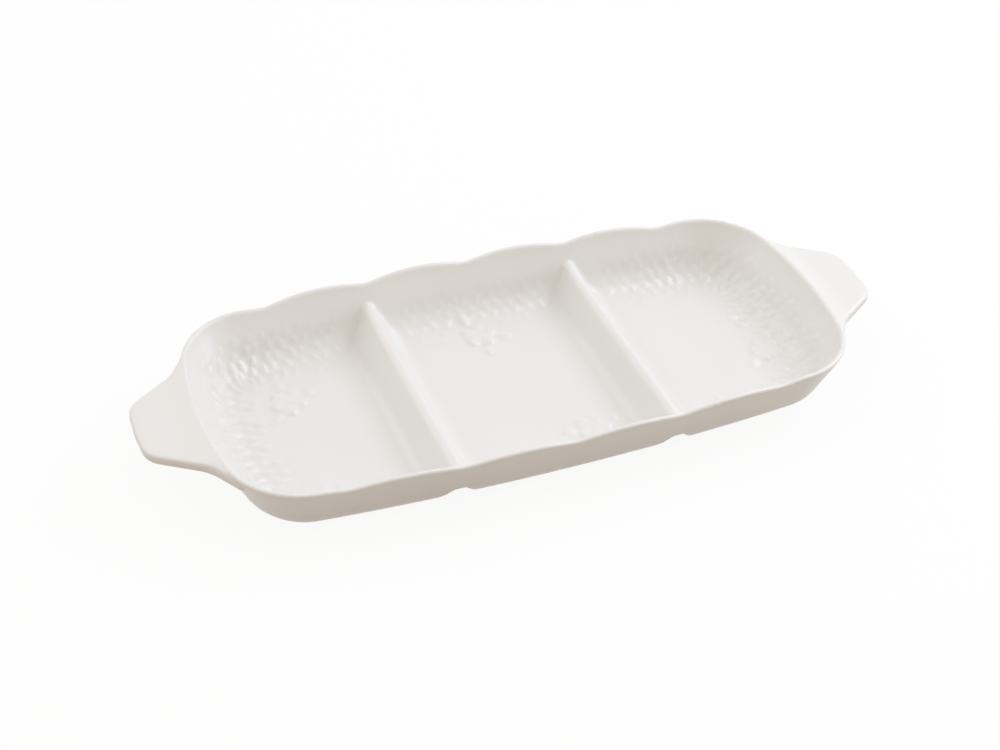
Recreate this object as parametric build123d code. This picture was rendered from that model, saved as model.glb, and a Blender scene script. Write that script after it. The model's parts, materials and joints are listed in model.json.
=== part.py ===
from build123d import *
from math import acos, atan2, cos, hypot, radians, sin, sqrt, tan
import os

# Divided serving dish: one long glazed tray with a scalloped rim, parted into three open bays
# by two saddle dividers that are hollow underneath, with a flat handle at each end and a low
# unglazed foot ring under each bay. Millimetres. X runs along the dish, Y across it and Z up
# from the table. The origin is the middle of the footprint.

# Body, measured over the outside of the rim at the height of its dips
body_length = 306.6
body_width = 143.2
side_radius = 1370.0
end_radius = 208.0
corner_radius = 36.3

# Wall and floor
foot_height = 1.8
floor_thickness = 4.4
bay_depth = 23.8
wall_thickness = 3.6
wall_lean = 21.0
outer_cove_radius = 14.8
inner_cove_radius = 13.4

# Scalloped rim: five dips and four lobes on each long side, plain ends
scallop_pitch = 51.6
lobes_per_side = 4
lobe_rise = 3.0
end_rise = 1.9
end_run = 18.0
dip_radius = 9.0
rim_edge = 1.1

# Dividers, and the hollow under each, open below and at both side walls
divider_spacing = 105.6
divider_height = 16.0
divider_half_base = 15.6
divider_cove_radius = 8.0
divider_crest_radius = 3.4
divider_seam_margin = 0.8
hollow_half_base = 12.4
hollow_half_roof = 2.6
hollow_height = 10.4

# Handles, reaching out from the body's ends
handle_reach = 26.7
handle_thickness = 4.7
handle_drop = 1.7
handle_edge = 1.3
handle_tip_width = 34.0
handle_tip_bow = 0.8
handle_tip_corner_radius = 12.0
handle_waist_width = 65.0
handle_waist_reach = 2.2
handle_waist_radius = 22.0
handle_root_width = 96.0
handle_root_inset = 9.5

# Foot rings
foot_ring_width = 5.0
foot_ring_inset = 4.5
foot_ring_corner_radius = 10.0
foot_edge = 0.6

overrun = 5.0

# Heights and places that follow from the sizes above
underside_z = foot_height
floor_z = underside_z + floor_thickness
dip_z = floor_z + bay_depth
rim_top_z = dip_z + lobe_rise
divider_x = divider_spacing / 2
handle_top_z = dip_z + end_rise - handle_drop


def lean_inset(height_below_dips):
    """How far the outer wall line has drawn in at a height below the rim's dips."""
    return height_below_dips * tan(radians(wall_lean))


wall_run = wall_thickness / cos(radians(wall_lean))
underside_inset = lean_inset(dip_z - underside_z)
floor_inset = lean_inset(bay_depth) + wall_run
cove_reach_share = tan(radians(90 - wall_lean) / 2)
underside_flat_inset = underside_inset + outer_cove_radius * cove_reach_share
floor_flat_inset = floor_inset + inner_cove_radius * cove_reach_share


def bowed_outline(inset):
    """Face of the body's plan outline, drawn in by an inset: bowed sides, ends and corners."""
    side_centre = Vector(0, body_width / 2 - side_radius)
    end_centre = Vector(body_length / 2 - end_radius, 0)
    across = end_centre - side_centre
    span = across.length
    to_side = side_radius - corner_radius
    to_end = end_radius - corner_radius
    along = (to_side**2 - to_end**2 + span**2) / (2 * span)
    offset = sqrt(to_side**2 - along**2)
    unit = across.normalized()
    corner = side_centre + unit * along + Vector(unit.Y, -unit.X) * offset
    side_way = (corner - side_centre).normalized()
    end_way = (corner - end_centre).normalized()
    side_point = side_centre + side_way * (side_radius - inset)
    end_point = end_centre + end_way * (end_radius - inset)
    corner_point = corner + (side_way + end_way).normalized() * (corner_radius - inset)
    side_middle = Vector(0, body_width / 2 - inset)
    end_middle = Vector(body_length / 2 - inset, 0)
    quarter = Curve() + [
        ThreePointArc(Vector(-side_point.X, side_point.Y), side_middle, side_point),
        ThreePointArc(side_point, corner_point, end_point),
        ThreePointArc(end_point, end_middle, Vector(end_point.X, -end_point.Y)),
        ThreePointArc(Vector(end_point.X, -end_point.Y), Vector(corner_point.X, -corner_point.Y),
                      Vector(side_point.X, -side_point.Y)),
    ]
    return make_face(quarter + quarter.rotate(Axis.Z, 180))


def coved_block(base_z, base_inset, cove_radius):
    """Leaning block from a base height to above the rim, with its bottom edge coved."""
    top_z = rim_top_z + overrun
    top_inset = base_inset - lean_inset(top_z - base_z)
    base = Pos(0, 0, base_z) * bowed_outline(base_inset)
    top = Pos(0, 0, top_z) * bowed_outline(top_inset)
    block = loft([base, top], ruled=True)
    return fillet(block.faces().sort_by(Axis.Z)[0].edges(), cove_radius)


def above_rim():
    """Everything above the rim line: lobes between rounded dips, then the level ends."""
    first_dip = -scallop_pitch * lobes_per_side / 2
    arcs = []
    for lobe in range(lobes_per_side):
        start = first_dip + lobe * scallop_pitch
        arcs.append(ThreePointArc((start, dip_z), (start + scallop_pitch / 2, rim_top_z),
                                  (start + scallop_pitch, dip_z)))
    level_z = dip_z + end_rise
    side = -first_dip + end_run
    far = body_length / 2 + overrun
    roof = rim_top_z + overrun
    arcs.append(TangentArc((side, level_z), (-first_dip, dip_z), tangent=(-1, 0)))
    arcs.append(Polyline((side, level_z), (far, level_z), (far, roof), (-far, roof),
                         (-far, level_z), (-side, level_z)))
    arcs.append(TangentArc((-side, level_z), (first_dip, dip_z), tangent=(1, 0)))
    profile = make_face(Curve() + arcs)
    dips = profile.vertices().group_by(Axis.Y)[0]
    profile = fillet(dips, dip_radius)
    return extrude(Plane.XZ * profile, body_width, both=True)


def divider_ridge():
    """Ridge along Y on the dish's middle: coves at its foot, leaning faces, a round crest."""
    cove = divider_cove_radius
    crest = divider_crest_radius
    crest_centre = Vector(0, divider_height - crest)
    reach = hypot(divider_half_base, cove - crest_centre.Y)
    lean = atan2(cove - crest_centre.Y, divider_half_base) + acos((cove + crest) / reach)
    half_lean = (lean + radians(90)) / 2
    out = Vector(cos(lean), sin(lean))
    foot = Vector(divider_half_base, 0)
    below = Vector(divider_half_base, -floor_thickness / 2)
    cove_centre = foot + Vector(0, cove)
    cove_middle = cove_centre - Vector(cos(half_lean), sin(half_lean)) * cove
    cove_end = cove_centre - out * cove
    crest_start = crest_centre + out * crest
    crest_end = Vector(-crest_start.X, crest_start.Y)
    flank = Curve() + [
        Polyline((0, below.Y), below, foot),
        ThreePointArc(foot, cove_middle, cove_end),
        Line(cove_end, crest_start),
    ]
    top = ThreePointArc(crest_start, (0, divider_height), crest_end)
    section = make_face(flank + top + flank.mirror(Plane.YZ))
    return extrude(Plane.XZ * Pos(0, floor_z) * section, body_width / 2, both=True)


def divider_hollow():
    """Hollow along Y on the dish's middle, from below the underside up into the ridge."""
    foot = underside_z
    roof = foot + hollow_height
    section = make_face(Polyline(
        (-hollow_half_base, foot - overrun), (hollow_half_base, foot - overrun),
        (hollow_half_base, foot), (hollow_half_roof, roof), (-hollow_half_roof, roof),
        (-hollow_half_base, foot), close=True))
    return extrude(Plane.XZ * section, body_width / 2, both=True)


def handle_blank():
    """The right handle with its inner end still inside the body."""
    tip_x = body_length / 2 + handle_reach
    waist_x = body_length / 2 + handle_waist_reach
    root_x = body_length / 2 - handle_root_inset
    tip = handle_tip_width / 2
    waist = handle_waist_width / 2
    root = handle_root_width / 2
    inner_x = root_x - root
    outline = make_face(
        Curve() + [
            ThreePointArc((tip_x - handle_tip_bow, -tip), (tip_x, 0), (tip_x - handle_tip_bow, tip)),
            Polyline((tip_x - handle_tip_bow, tip), (waist_x, waist), (root_x, root),
                     (inner_x, root), (inner_x, -root), (root_x, -root), (waist_x, -waist),
                     (tip_x - handle_tip_bow, -tip)),
        ])
    waists = outline.vertices().group_by(Axis.X)[-2]
    outline = fillet(waists, handle_waist_radius)
    tips = outline.vertices().group_by(Axis.X)[-1]
    outline = fillet(tips, handle_tip_corner_radius)
    blank = extrude(Pos(0, 0, handle_top_z - handle_thickness) * outline, handle_thickness)
    edges = [e for e in blank.edges().filter_by(Axis.Z, reverse=True) if e.center().X > root_x]
    return chamfer(edges, handle_edge)


def foot_ring(low_x, high_x):
    """A low ring under one bay, between two X limits of the bay's flat underside."""
    length = high_x - low_x - 2 * foot_ring_inset
    width = body_width - 2 * underside_flat_inset - 2 * foot_ring_inset
    ring = RectangleRounded(length, width, foot_ring_corner_radius)
    ring -= RectangleRounded(length - 2 * foot_ring_width, width - 2 * foot_ring_width,
                             foot_ring_corner_radius - foot_ring_width)
    solid = extrude(Pos((low_x + high_x) / 2, 0) * ring, foot_height)
    return chamfer(solid.faces().sort_by(Axis.Z)[0].edges(), foot_edge)


def eased_rim(tray):
    """The tray with both edges of its rim eased."""
    edges = [e for e in tray.edges() if e.bounding_box().min.Z > dip_z - rim_edge]
    return chamfer(edges, rim_edge)


def seat_strip():
    """The strip of floor that a divider takes up, from side wall to side wall."""
    strip = Rectangle(2 * (divider_half_base + divider_seam_margin), body_width)
    strip &= bowed_outline(floor_flat_inset)
    return extrude(Pos(0, 0, underside_z) * strip, floor_thickness)


envelope = coved_block(underside_z, underside_inset, outer_cove_radius)
trough = coved_block(floor_z, floor_inset, inner_cove_radius)
tray = eased_rim(envelope - trough - above_rim())

ridge = divider_ridge()
hollow = divider_hollow()
right_handle = handle_blank() - envelope

pieces = {"right_handle": right_handle, "left_handle": right_handle.rotate(Axis.Z, 180)}
for name, x in (("left_divider", -divider_x), ("right_divider", divider_x)):
    place = Pos(x, 0, 0)
    seat = place * seat_strip()
    pieces[name] = (place * ridge & trough) + seat - place * hollow
    tray = tray - seat - place * hollow
pieces["tray_shell"] = tray

bay_edge_x = divider_x - hollow_half_base
flat_end_x = body_length / 2 - underside_flat_inset
outer_edge_x = divider_x + hollow_half_base
pieces["left_foot_ring"] = foot_ring(-flat_end_x, -outer_edge_x)
pieces["middle_foot_ring"] = foot_ring(-bay_edge_x, bay_edge_x)
pieces["right_foot_ring"] = foot_ring(outer_edge_x, flat_end_x)

os.makedirs("parts", exist_ok=True)
for name, piece in pieces.items():
    export_step(piece, f"parts/{name}.step")
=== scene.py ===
"""Looks for a divided serving dish of glazed porcelain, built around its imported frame.

The dish is one fired piece, so its body, dividers and handles are modelled as closed solids,
fused into one skin, given a low relief of leaves and blossoms, and parted again by member, so
that each piece can stand for its own solid of the frame.
"""

from __future__ import annotations

import json
import logging
import math
from collections.abc import Callable
from dataclasses import dataclass, replace
from enum import Enum

import bmesh
import bpy
import numpy as np
from mathutils import Matrix, Vector

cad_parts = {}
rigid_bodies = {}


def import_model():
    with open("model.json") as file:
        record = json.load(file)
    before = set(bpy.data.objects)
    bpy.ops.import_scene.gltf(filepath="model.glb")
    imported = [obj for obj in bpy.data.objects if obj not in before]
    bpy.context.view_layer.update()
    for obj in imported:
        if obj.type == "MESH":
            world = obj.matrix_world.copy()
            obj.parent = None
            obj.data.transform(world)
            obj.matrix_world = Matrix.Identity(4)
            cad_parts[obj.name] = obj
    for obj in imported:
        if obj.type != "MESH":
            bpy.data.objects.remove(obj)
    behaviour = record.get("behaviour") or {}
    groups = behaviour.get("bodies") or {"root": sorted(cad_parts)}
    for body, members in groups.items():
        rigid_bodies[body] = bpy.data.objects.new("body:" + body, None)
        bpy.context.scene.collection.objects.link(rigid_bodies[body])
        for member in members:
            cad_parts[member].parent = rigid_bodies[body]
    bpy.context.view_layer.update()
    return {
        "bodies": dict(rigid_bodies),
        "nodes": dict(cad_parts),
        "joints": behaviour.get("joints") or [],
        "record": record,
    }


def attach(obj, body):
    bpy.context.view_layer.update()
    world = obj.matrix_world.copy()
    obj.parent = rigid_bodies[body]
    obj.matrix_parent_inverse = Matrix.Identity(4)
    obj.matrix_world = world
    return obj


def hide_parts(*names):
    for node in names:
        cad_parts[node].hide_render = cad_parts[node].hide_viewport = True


LOG = logging.getLogger("serving_dish")
MM = 0.001
WHITE = (1.0, 1.0, 1.0, 1.0)


class Socket:
    """One output of a shader node, with Python operators that add Math nodes."""

    def __init__(self, painter: Painter, out: bpy.types.NodeSocket) -> None:
        """Keeps the painter whose node tree the output belongs to."""
        self.painter = painter
        self.out = out

    def _math(self, operation: str, first: Socket | float, second: Socket | float) -> Socket:
        """Adds one Math node and returns its output."""
        return self.painter.node("ShaderNodeMath", {"operation": operation}, {0: first, 1: second})

    def __add__(self, other: Socket | float) -> Socket:
        """Sum."""
        return self._math("ADD", self, other)

    def __radd__(self, other: Socket | float) -> Socket:
        """Sum with the value first."""
        return self._math("ADD", other, self)

    def __mul__(self, other: Socket | float) -> Socket:
        """Product."""
        return self._math("MULTIPLY", self, other)

    def __rmul__(self, other: Socket | float) -> Socket:
        """Product with the value first."""
        return self._math("MULTIPLY", other, self)

    def clamp(self) -> Socket:
        """The value held between 0 and 1."""
        return self.painter.node("ShaderNodeClamp", {}, {"Value": self})


@dataclass(frozen=True)
class Grain:
    """A noise: its waves to the metre, its octaves and the strength of the finer ones."""

    scale: float
    detail: float
    roughness: float


class Painter:
    """Builds the node tree of one material or of the world."""

    def __init__(self, owner: bpy.types.Material | bpy.types.World) -> None:
        """Empties the node tree of a new material or world.

        Args:
            owner: The material or world.
        """
        owner.use_nodes = True
        self.owner = owner
        self.tree = owner.node_tree
        self.tree.nodes.clear()

    def node(self, kind: str, settings: dict[str, object], inputs: dict[str | int, object],
             output: str | int = 0) -> Socket:
        """Adds a node.

        Args:
            kind: The node's type name.
            settings: Its own settings.
            inputs: Values or sockets for its inputs, by name or number.
            output: Which output to return.

        Returns:
            The chosen output.
        """
        made = self.tree.nodes.new(kind)
        for key, value in settings.items():
            setattr(made, key, value)
        for key, value in inputs.items():
            if isinstance(value, Socket):
                self.tree.links.new(value.out, made.inputs[key])
            else:
                made.inputs[key].default_value = value
        return Socket(self, made.outputs[output])

    def noise(self, grain: Grain) -> Socket:
        """Noise on the piece's own coordinates, about 0 to 1."""
        place = self.node("ShaderNodeTexCoord", {}, {}, "Object")
        return self.node("ShaderNodeTexNoise", {}, {
            "Vector": place, "Scale": grain.scale, "Detail": grain.detail,
            "Roughness": grain.roughness})

    def attribute(self, name: str) -> Socket:
        """A value painted on the piece's points."""
        return self.node("ShaderNodeAttribute", {"attribute_name": name}, {}, "Fac")

    def mix(self, share: Socket, first: tuple[float, ...], second: tuple[float, ...]) -> Socket:
        """Mixes two colours.

        Args:
            share: 0 gives the first and 1 the second.
            first: A linear colour.
            second: A linear colour.

        Returns:
            The mixed colour.
        """
        colour_a, colour_b, colour_result = 6, 7, 2
        return self.node("ShaderNodeMix", {"data_type": "RGBA"}, {
            0: share, colour_a: (*first, 1.0), colour_b: (*second, 1.0)}, colour_result)

    def bump(self, height: Socket, depth: float, **below: Socket) -> Socket:
        """The normal of a surface bumped to a depth in metres, over the Normal given, if any."""
        return self.node("ShaderNodeBump", {}, {
            "Height": height, "Distance": depth, "Strength": 1.0, **below})

    def plainly_seen(self) -> Socket:
        """1 where a ray shows a thing to the eye or in the glaze, and 0 where it only lights."""
        camera, glossy, clear = [
            self.node("ShaderNodeLightPath", {}, {}, f"Is {kind} Ray")
            for kind in ("Camera", "Glossy", "Transmission")]
        return (camera + glossy + clear).clamp()

    def finish(self, shader: Socket,
               kind: str = "ShaderNodeOutputMaterial") -> bpy.types.Material | bpy.types.World:
        """Links the surface and returns the material or world.

        Args:
            shader: The whole surface.
            kind: The output node's type name.

        Returns:
            The owner of the node tree.
        """
        made = self.tree.nodes.new(kind)
        self.tree.links.new(shader.out, made.inputs["Surface"])
        return self.owner


@dataclass(frozen=True)
class WhiteGlaze:
    """Warm white glaze: thin on crests, with painted shade and pooling glaze beside the relief."""

    name: str = "white_glaze"
    thin: tuple[float, float, float] = (0.86, 0.85, 0.835)
    pool_and_shade: tuple[float, float, float] = (0.82, 0.80, 0.77)
    cloud: Grain = Grain(28.0, 4.0, 0.55)
    recess_shade_share: float = 0.45
    cloud_share: float = 0.35
    roughness: float = 0.3
    roughness_swing: float = 0.06
    index: float = 1.5
    ripple: Grain = Grain(90.0, 2.0, 0.4)
    ripple_depth: float = 0.00006
    pits: Grain = Grain(900.0, 2.0, 0.5)
    pit_depth: float = 0.000012

    def material(self) -> bpy.types.Material:
        """Builds the material.

        Returns:
            The finished material.
        """
        p = Painter(bpy.data.materials.new(self.name))
        # Painted shade and pooling glaze beside the relief; the clouds darken at random.
        pool_and_shade = (p.attribute("recess_shade") * self.recess_shade_share
                  + p.noise(self.cloud) * self.cloud_share).clamp()
        ripple = p.noise(self.ripple)
        low = p.bump(ripple, self.ripple_depth)
        shader = p.node("ShaderNodeBsdfPrincipled", {}, {
            "Base Color": p.mix(pool_and_shade, self.thin, self.pool_and_shade),
            "Roughness": self.roughness - self.roughness_swing / 2 + ripple * self.roughness_swing,
            "Normal": p.bump(p.noise(self.pits), self.pit_depth, Normal=low),
            "IOR": self.index})
        return p.finish(shader)


@dataclass(frozen=True)
class BareClay:
    """Unglazed fired clay on the feet, wiped smooth, with fine grain and specks."""

    name: str = "bare_clay"
    pale: tuple[float, float, float] = (0.80, 0.76, 0.70)
    dusty: tuple[float, float, float] = (0.70, 0.65, 0.58)
    grain: Grain = Grain(2400.0, 3.0, 0.6)
    stain: Grain = Grain(60.0, 4.0, 0.6)
    stain_share: float = 0.5
    roughness: float = 0.82
    roughness_swing: float = 0.16
    grain_depth: float = 0.00005

    def material(self) -> bpy.types.Material:
        """Builds the material.

        Returns:
            The finished material.
        """
        p = Painter(bpy.data.materials.new(self.name))
        grain = p.noise(self.grain)
        stain = p.noise(self.stain)
        share = (grain * (1 - self.stain_share) + stain * self.stain_share).clamp()
        shader = p.node("ShaderNodeBsdfPrincipled", {}, {
            "Base Color": p.mix(share, self.pale, self.dusty),
            "Roughness": self.roughness - self.roughness_swing / 2 + stain * self.roughness_swing,
            "Normal": p.bump(grain, self.grain_depth)})
        return p.finish(shader)


@dataclass(frozen=True)
class PaleFloor:
    """Matt white studio paper under the dish, which shows white and keeps its soft shadow."""

    name: str = "studio_floor"
    colour: tuple[float, float, float] = (0.95, 0.95, 0.95)
    bounce: tuple[float, float, float] = (0.54, 0.48, 0.41)
    whitening: float = 0.92

    def material(self) -> bpy.types.Material:
        """Builds the material.

        Returns:
            The finished material.
        """
        p = Painter(bpy.data.materials.new(self.name))
        paper = p.node("ShaderNodeBsdfDiffuse", {}, {"Color": (*self.colour, 1.0)})
        bounce = p.node("ShaderNodeBsdfDiffuse", {}, {"Color": (*self.bounce, 1.0)})
        white = p.node("ShaderNodeEmission", {}, {"Color": WHITE, "Strength": 1.0})
        seen = p.node("ShaderNodeMixShader", {}, {0: self.whitening, 1: paper, 2: white})
        return p.finish(p.node("ShaderNodeMixShader", {}, {
            0: p.plainly_seen(), 1: bounce, 2: seen}))


class Member(Enum):
    """The members that the fused skin is parted into."""

    LEFT_BAY = "left_bay_skin"
    MIDDLE_BAY = "middle_bay_skin"
    RIGHT_BAY = "right_bay_skin"
    LEFT_DIVIDER = "left_divider_skin"
    RIGHT_DIVIDER = "right_divider_skin"
    LEFT_HANDLE = "left_handle_skin"
    RIGHT_HANDLE = "right_handle_skin"
    LEFT_SHELL = "left_shell_outside"
    MIDDLE_SHELL = "middle_shell_outside"
    RIGHT_SHELL = "right_shell_outside"


def deselect_all() -> None:
    """Leaves object mode with nothing selected."""
    if bpy.context.object is not None and bpy.context.object.mode != "OBJECT":
        bpy.ops.object.mode_set(mode="OBJECT")
    bpy.ops.object.select_all(action="DESELECT")


def make_active(obj: bpy.types.Object) -> None:
    """Selects one object alone and makes it the active one.

    Args:
        obj: The object.
    """
    deselect_all()
    obj.select_set(True)
    bpy.context.view_layer.objects.active = obj


def apply_modifier(obj: bpy.types.Object, kind: str, settings: dict[str, object]) -> None:
    """Adds a modifier, sets it and applies it.

    Args:
        obj: The object to change.
        kind: The modifier's type name.
        settings: Its settings.
    """
    make_active(obj)
    made = obj.modifiers.new(kind.lower(), kind)
    for key, value in settings.items():
        setattr(made, key, value)
    bpy.ops.object.modifier_apply(modifier=made.name)


def ring_start(name: str, count: int) -> bpy.types.Object:
    """A circle primitive whose points carry their station number.

    Args:
        name: The object's name.
        count: Points round the ring.

    Returns:
        The object, in edit mode with its ring selected.
    """
    deselect_all()
    bpy.ops.mesh.primitive_circle_add(vertices=count, radius=1.0, fill_type="NOTHING")
    obj = bpy.context.object
    obj.name = name
    obj.data.name = name
    station = obj.data.attributes.new("station", "INT", "POINT")
    station.data.foreach_set("value", np.arange(count, dtype=np.int32))
    bpy.ops.object.mode_set(mode="EDIT")
    bpy.ops.mesh.select_all(action="SELECT")
    return obj


def place_ring(obj: bpy.types.Object, points: np.ndarray) -> None:
    """Moves the selected ring's points to their stations' places.

    Args:
        obj: The object in edit mode.
        points: One place for each station.
    """
    mesh = bmesh.from_edit_mesh(obj.data)
    layer = mesh.verts.layers.int["station"]
    for vert in mesh.verts:
        if vert.select:
            vert.co = points[vert[layer]]
    bmesh.update_edit_mesh(obj.data)


def ring_solid(name: str, rings: list[np.ndarray]) -> bpy.types.Object:
    """A closed solid extruded ring by ring and filled at both ends.

    Args:
        name: The object's name.
        rings: The places of each ring's points, in order.

    Returns:
        The object, in object mode with its normals outwards.
    """
    obj = ring_start(name, len(rings[0]))
    place_ring(obj, rings[0])
    for ring in rings[1:]:
        bpy.ops.mesh.extrude_region_move()
        place_ring(obj, ring)
    bpy.ops.mesh.edge_face_add()
    mesh = bmesh.from_edit_mesh(obj.data)
    open_edges = [e for e in mesh.edges if e.is_boundary]
    bpy.ops.mesh.select_all(action="DESELECT")
    bpy.ops.mesh.select_mode(type="EDGE")
    for edge in open_edges:
        edge.select = True
    bmesh.update_edit_mesh(obj.data)
    bpy.ops.mesh.edge_face_add()
    bpy.ops.mesh.select_mode(type="VERT")
    bpy.ops.mesh.select_all(action="SELECT")
    bpy.ops.mesh.normals_make_consistent(inside=False)
    bpy.ops.object.mode_set(mode="OBJECT")
    return obj


def eased(share: np.ndarray | float) -> np.ndarray | float:
    """A share from 0 to 1 that starts and ends softly."""
    return share**2 * (3 - 2 * share)


def risen(value: np.ndarray | float, start: float, run: float) -> np.ndarray | float:
    """How far a value has risen from a start over a run, held between 0 and 1."""
    return np.clip((value - start) / run, 0.0, 1.0)


def blended(first: float, second: float, share: np.ndarray | float) -> np.ndarray | float:
    """A value that goes from a first to a second one with a share."""
    return first + (second - first) * share


def parted(whole: float, steps: int) -> list[float]:
    """The places from 0 to a whole that part it into equal steps."""
    return [whole * step / steps for step in range(steps + 1)]


def unit(ways: np.ndarray) -> np.ndarray:
    """A way, or each row of ways, at a length of 1."""
    return ways / np.linalg.norm(ways, axis=-1, keepdims=True)


@dataclass(frozen=True)
class Arc:
    """One arc of the plan line, its turns measured from the way across the dish."""

    centre: np.ndarray
    radius: float
    start: float
    stop: float
    stations: int

    def length(self, level: float) -> float:
        """Its length at an inset."""
        return (self.radius - level) * (self.stop - self.start)

    def turn(self, x: np.ndarray, y: np.ndarray) -> np.ndarray:
        """Turns of plan points round its centre."""
        return np.arctan2(x - self.centre[0], y - self.centre[1])

    def inset(self, x: np.ndarray, y: np.ndarray) -> np.ndarray:
        """How far plan points are drawn in from it."""
        return self.radius - np.hypot(x - self.centre[0], y - self.centre[1])


@dataclass
class PlanLine:
    """The body's plan line at the height of the rim's dips, in millimetres: bowed sides and ends."""

    length: float = 306.6
    width: float = 143.2
    side_radius: float = 1370.0
    end_radius: float = 208.0
    corner_radius: float = 36.3
    divider_x: float = 52.8
    side_stations: int = 55
    corner_stations: int = 26
    end_stations: int = 22

    def __post_init__(self) -> None:
        """Works out the three arcs of a quarter and the stations round the whole line."""
        side_centre = np.array([0.0, self.width / 2 - self.side_radius])
        end_centre = np.array([self.length / 2 - self.end_radius, 0.0])
        across = end_centre - side_centre
        span = float(np.hypot(*across))
        to_side = self.side_radius - self.corner_radius
        to_end = self.end_radius - self.corner_radius
        along = (to_side**2 - to_end**2 + span**2) / (2 * span)
        offset = math.sqrt(to_side**2 - along**2)
        unit = across / span
        corner_centre = side_centre + unit * along + np.array([unit[1], -unit[0]]) * offset
        side_turn = math.atan2(*(corner_centre - side_centre))
        end_turn = math.atan2(*(corner_centre - end_centre))
        self.side = Arc(side_centre, self.side_radius, 0.0, side_turn, self.side_stations)
        self.corner = Arc(corner_centre, self.corner_radius, side_turn, end_turn,
                          self.corner_stations)
        self.end = Arc(end_centre, self.end_radius, end_turn, math.pi / 2, self.end_stations)
        rows = []
        for arc in (self.side, self.corner, self.end):
            for part in parted(arc.stop - arc.start, arc.stations)[:-1]:
                turn = arc.start + part
                rows.append((*arc.centre, math.sin(turn), math.cos(turn), arc.radius))
        rows.append((*end_centre, 1.0, 0.0, self.end_radius))
        right_back = np.array(rows)
        right_front = right_back[::-1] * np.array([1, -1, 1, -1, 1])
        right = np.vstack([right_back[:-1], right_front[:-1]])
        whole = np.vstack([right, right * np.array([-1, -1, -1, -1, 1])])
        self.centres = whole[:, :2]
        self.ways = whole[:, 2:4]
        self.radii = whole[:, 4]

    def at(self, inset: np.ndarray | float) -> np.ndarray:
        """Plan places of all stations, drawn in by an inset."""
        return self.centres + self.ways * (self.radii - inset)[:, None]

    def quarter_length(self, level: float) -> float:
        """Length of one quarter of the line at an inset."""
        return self.side.length(level) + self.corner.length(level) + self.end.length(level)

    def end_x(self, y: np.ndarray, inset: float) -> np.ndarray:
        """Where the dish's right end lies.

        Args:
            y: Places across the dish.
            inset: How far the line is drawn in.

        Returns:
            The line's places along the dish.
        """
        side = np.abs(y)
        bow = (self.end_radius - inset) ** 2 - side**2
        on_end = self.end.centre[0] + np.sqrt(np.maximum(bow, 0.0))
        reach = self.corner_radius - inset
        beyond = side - self.corner.centre[1]
        turned = reach**2 - np.maximum(beyond, 0.0) ** 2
        on_corner = self.corner.centre[0] + np.sqrt(np.maximum(turned, 0.0))
        return np.where(beyond > reach * math.cos(self.end.start), on_corner, on_end)

    def locate(self, x: np.ndarray, y: np.ndarray, level: float) -> tuple[np.ndarray, np.ndarray]:
        """Where plan points lie against the line.

        Args:
            x: Places along the dish.
            y: Places across it.
            level: The inset at which lengths along the line are measured.

        Returns:
            The length along one quarter of the line, and the inset.
        """
        x, y = np.abs(x), np.abs(y)
        on_side = self.side.turn(x, y) <= self.side.stop
        on_end = (self.end.turn(x, y) >= self.end.start) & ~on_side
        run, inset = np.zeros(len(x)), np.zeros(len(x))
        before = 0.0
        for arc, own in ((self.side, on_side), (self.corner, ~on_side & ~on_end),
                         (self.end, on_end)):
            along = before + (arc.radius - level) * (arc.turn(x, y) - arc.start)
            run = np.where(own, along, run)
            inset = np.where(own, arc.inset(x, y), inset)
            before += arc.length(level)
        return run, inset


@dataclass(frozen=True)
class WallFace:
    """One face of the wall: its foot, its cove and its straight part above the cove."""

    base: float
    cove: float
    flat: float
    cove_top: float
    straight: Callable[[np.ndarray | float], np.ndarray | float]

    def inset(self, z: np.ndarray) -> np.ndarray:
        """The face's inset, its cove included.

        Args:
            z: Heights.

        Returns:
            The insets.
        """
        drop = np.clip(self.base + self.cove - z, 0.0, self.cove)
        curved = self.flat - np.sqrt(self.cove**2 - drop**2)
        return np.where(z < self.cove_top, curved, self.straight(z))


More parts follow.
